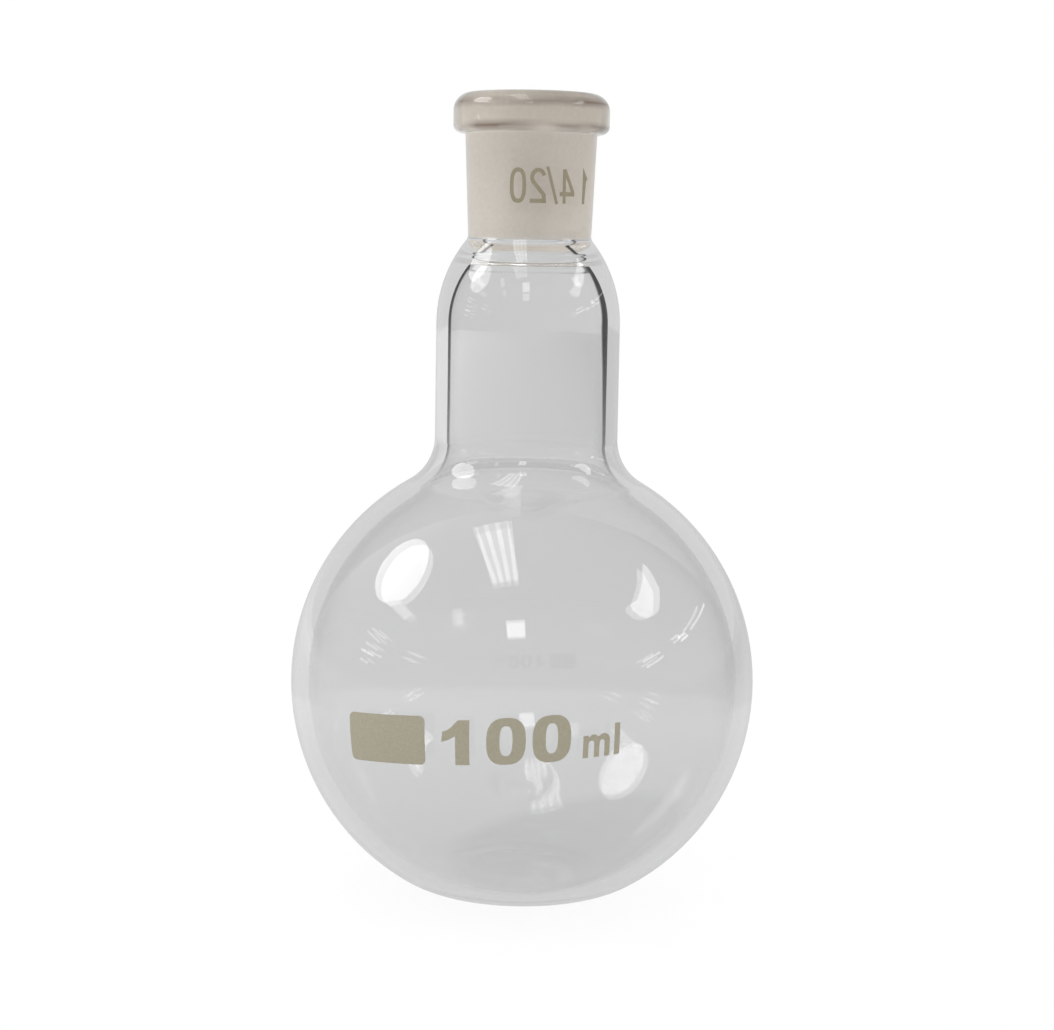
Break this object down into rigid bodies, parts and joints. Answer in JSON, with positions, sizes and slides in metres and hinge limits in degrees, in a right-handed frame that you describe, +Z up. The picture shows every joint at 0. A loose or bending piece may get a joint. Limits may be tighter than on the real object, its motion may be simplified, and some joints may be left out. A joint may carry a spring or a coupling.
{
  "type": "boiling flask",
  "caption": "Round glass boiling flask with a small flat base, a straight neck and a ground socket joint under a beaded rim.",
  "frame": {"origin": "centre of the base, on the surface the flask stands on", "axes": "+Z up the flask's axis, out of its mouth; -Y faces the side with the volume mark"},
  "size_m": [0.064, 0.064, 0.1094],
  "materials": {
    "clear_glass": "clear polished",
    "ground_glass": "fine ground, frosted",
    "print": "fired-on enamel"
  },
  "bodies": {
    "root": {"flask": "clear_glass"}
  },
  "joints": []
}
